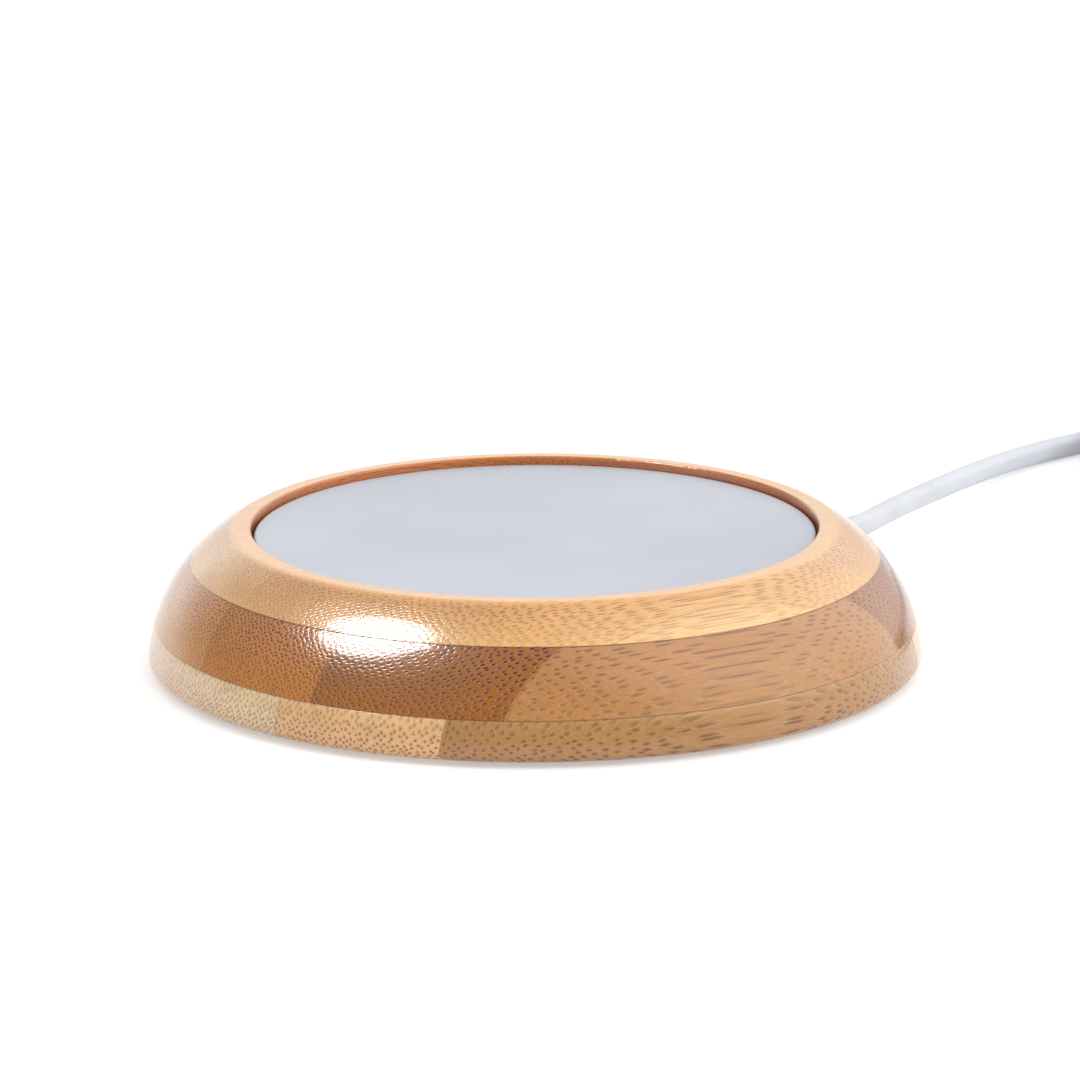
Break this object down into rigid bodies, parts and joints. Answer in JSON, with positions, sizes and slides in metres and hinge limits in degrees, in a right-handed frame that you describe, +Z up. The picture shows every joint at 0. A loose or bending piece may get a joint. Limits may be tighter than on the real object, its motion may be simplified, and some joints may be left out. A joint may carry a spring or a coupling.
{
  "type": "electric mug warmer",
  "caption": "Round bamboo mug warmer: a turned laminated ring round a sunk aluminium heating plate, with a white low-voltage lead and plug.",
  "frame": {"origin": "on the table under the middle of the round casing", "axes": "+Z is up along the ring's axis, and +Y is where the lead leaves the casing"},
  "size_m": [0.11, 0.2421, 0.0203],
  "materials": {
    "bamboo": "glossy lacquer",
    "aluminium_plate": "fine satin anodised",
    "silicone_seal": "moulded silicone",
    "polyimide": "laminated film",
    "etched_foil": "etched",
    "felt": "needled felt",
    "zinc_steel": "pressed and zinc plated",
    "screw_steel": "zinc plated",
    "cutout_case": "moulded",
    "wire_sleeve": "extruded",
    "nylon": "moulded",
    "lead_pvc": "extruded soft PVC",
    "cover_abs": "moulded with a fine texture",
    "silicone_foot": "moulded silicone",
    "plug_steel": "nickel plated",
    "gilt": "gold flashed"
  },
  "bodies": {
    "root": {"bamboo_bottom_ply": "bamboo", "bamboo_middle_ply": "bamboo", "bamboo_top_ply": "bamboo", "heating_plate": "aluminium_plate", "plate_seal": "silicone_seal", "heater_film": "polyimide", "heater_trace": "etched_foil", "insulation_pad": "felt", "retainer_plate": "zinc_steel", "retainer_screws": "screw_steel", "thermal_cutout": "cutout_case", "cutout_clip": "zinc_steel", "heater_leads": "wire_sleeve", "splice_sleeves": "nylon", "lead_cores": "wire_sleeve", "inner_lead": "lead_pvc", "lead_clamp": "nylon", "clamp_screws": "screw_steel", "strain_relief": "lead_pvc", "bottom_cover": "cover_abs", "cover_screws": "screw_steel", "feet": "silicone_foot", "cord_run": "lead_pvc", "cord_coil": "lead_pvc", "cord_tail": "lead_pvc", "plug_overmould": "lead_pvc", "plug_shell": "plug_steel", "plug_tongue": "nylon", "plug_contacts": "gilt"}
  },
  "joints": []
}
